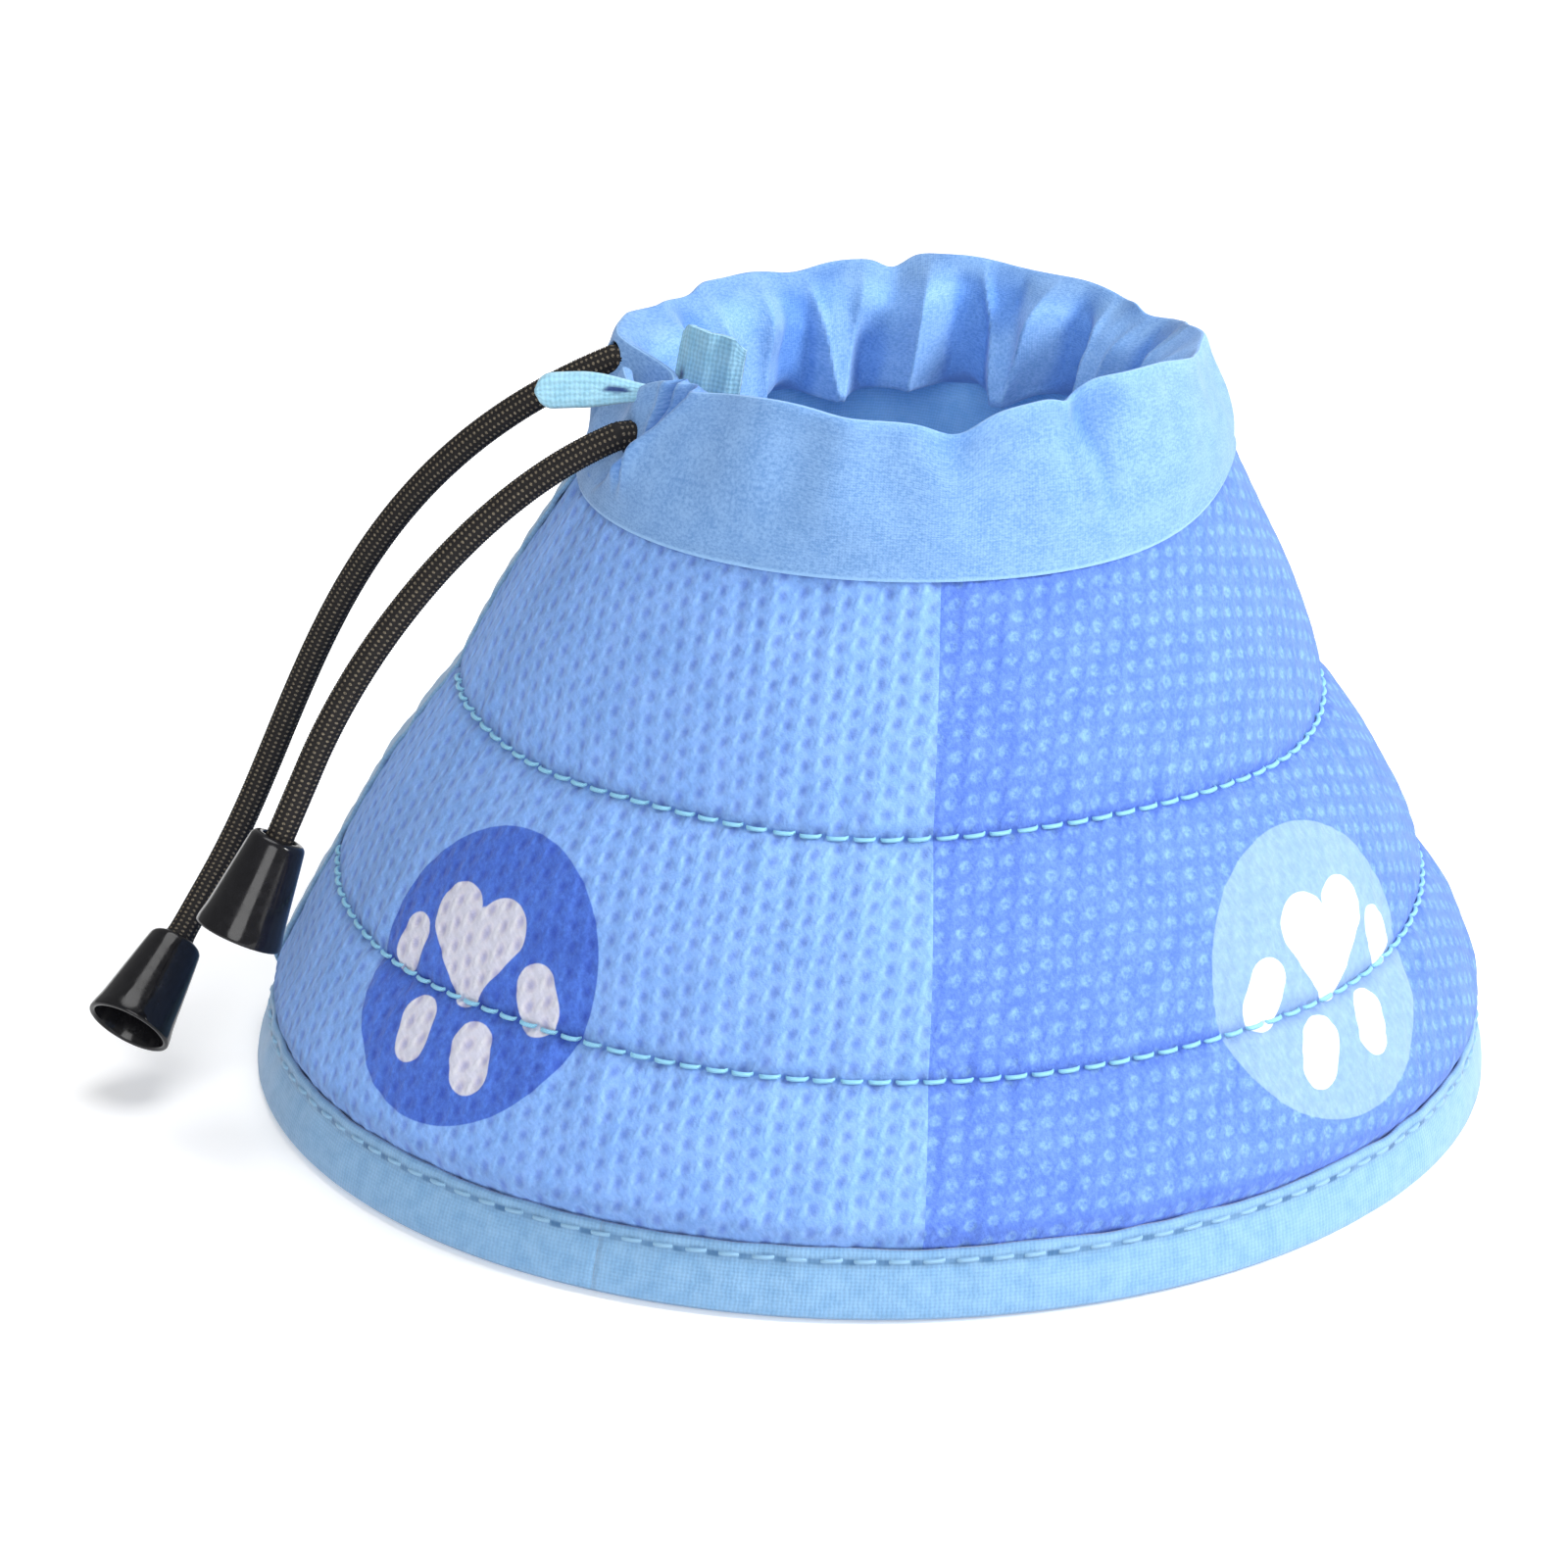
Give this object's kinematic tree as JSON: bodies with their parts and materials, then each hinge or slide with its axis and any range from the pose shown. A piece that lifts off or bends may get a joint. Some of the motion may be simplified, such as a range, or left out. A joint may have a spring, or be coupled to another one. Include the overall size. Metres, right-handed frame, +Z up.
{
  "type": "elizabethan collar",
  "caption": "Soft quilted recovery cone for a cat: printed mesh wall over wadding, taped hem, hook-and-loop closure, gathered neck band with drawcord and bell ends.",
  "frame": {"origin": "centre of the hem on the ground, midway across the widest circle of the cone", "axes": "+Z up along the height from hem to neck, front (towards the viewer, with the light and dark print meeting) towards -Y, closure and cords towards -X"},
  "size_m": [0.2001, 0.1776, 0.1066],
  "materials": {
    "printed_mesh": "matte",
    "lining_mesh": "matte",
    "wadding": "matte",
    "binding_tape": "matte",
    "band_cloth": "matte",
    "thread": "satin",
    "hook": "matte",
    "loop": "matte",
    "cord_end": "gloss",
    "cord": "satin"
  },
  "bodies": {
    "main_wall": {"drawcord_main": "cord", "hem_binding_main": "binding_tape", "hem_thread_main": "thread", "lining_main": "lining_mesh", "neck_band_main": "band_cloth", "outer_cloth_main": "printed_mesh", "quilt_thread_lower_main": "thread", "quilt_thread_upper_main": "thread", "wadding_lower_main": "wadding", "wadding_middle_main": "wadding", "wadding_upper_main": "wadding"},
    "back_wall": {"drawcord_back": "cord", "edge_tape_underlap": "binding_tape", "hem_binding_back": "binding_tape", "hem_binding_underlap": "binding_tape", "hem_thread_back": "thread", "lining_back": "lining_mesh", "loop_strip": "loop", "neck_band_back": "band_cloth", "neck_band_underlap": "band_cloth", "outer_cloth_back": "printed_mesh", "quilt_thread_lower_back": "thread", "quilt_thread_upper_back": "thread", "underlap_cloth": "lining_mesh", "wadding_lower_back": "wadding", "wadding_middle_back": "wadding", "wadding_upper_back": "wadding"},
    "front_wall": {"drawcord_front": "cord", "hem_binding_front": "binding_tape", "hem_thread_front": "thread", "lining_front": "lining_mesh", "neck_band_front": "band_cloth", "outer_cloth_front": "printed_mesh", "quilt_thread_lower_front": "thread", "quilt_thread_upper_front": "thread", "wadding_lower_front": "wadding", "wadding_middle_front": "wadding", "wadding_upper_front": "wadding"},
    "closure_flap": {"drawcord_flap": "cord", "edge_tape_flap": "binding_tape", "hem_binding_flap": "binding_tape", "hem_thread_flap": "thread", "hook_strip": "hook", "lining_flap": "lining_mesh", "neck_band_flap": "band_cloth", "outer_cloth_flap": "printed_mesh", "quilt_thread_lower_flap": "thread", "quilt_thread_upper_flap": "thread", "tape_tail": "binding_tape", "wadding_flap": "wadding"},
    "rear_cord": {"cord_tail_rear": "cord"},
    "rear_cord_end": {"cord_end_rear": "cord_end"},
    "front_cord": {"cord_tail_front": "cord"},
    "front_cord_end": {"cord_end_front": "cord_end"}
  },
  "joints": [
    {"name": "back_half_open", "type": "hinge", "parent": "main_wall", "child": "back_wall", "pos_m": [-0.02446, 0.09128, 0], "axis": [-0.1707, 0.4219, -0.8904], "range_deg": [0, 80]},
    {"name": "front_half_open", "type": "hinge", "parent": "main_wall", "child": "front_wall", "pos_m": [0.02446, -0.09128, 0], "axis": [-0.0561, 0.4276, 0.9022], "range_deg": [0, 80]},
    {"name": "flap_peel", "type": "hinge", "parent": "front_wall", "child": "closure_flap", "pos_m": [-0.08184, -0.04725, 0], "axis": [0.4295, 0.2151, 0.8771], "range_deg": [0, 32]},
    {"name": "rear_cord_swing", "type": "hinge", "parent": "back_wall", "child": "rear_cord", "pos_m": [-0.036, 0.0059, 0.1016], "axis": [-0.3248, 0.9458, 0], "range_deg": [0, 75]},
    {"name": "front_cord_swing", "type": "hinge", "parent": "closure_flap", "child": "front_cord", "pos_m": [-0.0349, -0.0153, 0.0969], "axis": [-0.2673, 0.9636, 0], "range_deg": [0, 60]},
    {"name": "rear_end_slide", "type": "slide", "parent": "rear_cord", "child": "rear_cord_end", "axis": [0.4124, 0.6886, 0.5965], "range_m": [0, 0.01]},
    {"name": "front_end_slide", "type": "slide", "parent": "front_cord", "child": "front_cord_end", "axis": [0.3999, 0.2239, 0.8888], "range_m": [0, 0.01]}
  ],
  "couplings": [
    {"joint": "front_half_open", "follows": "back_half_open", "ratio": 1},
    {"joint": "flap_peel", "follows": "back_half_open", "ratio": 0.4}
  ]
}
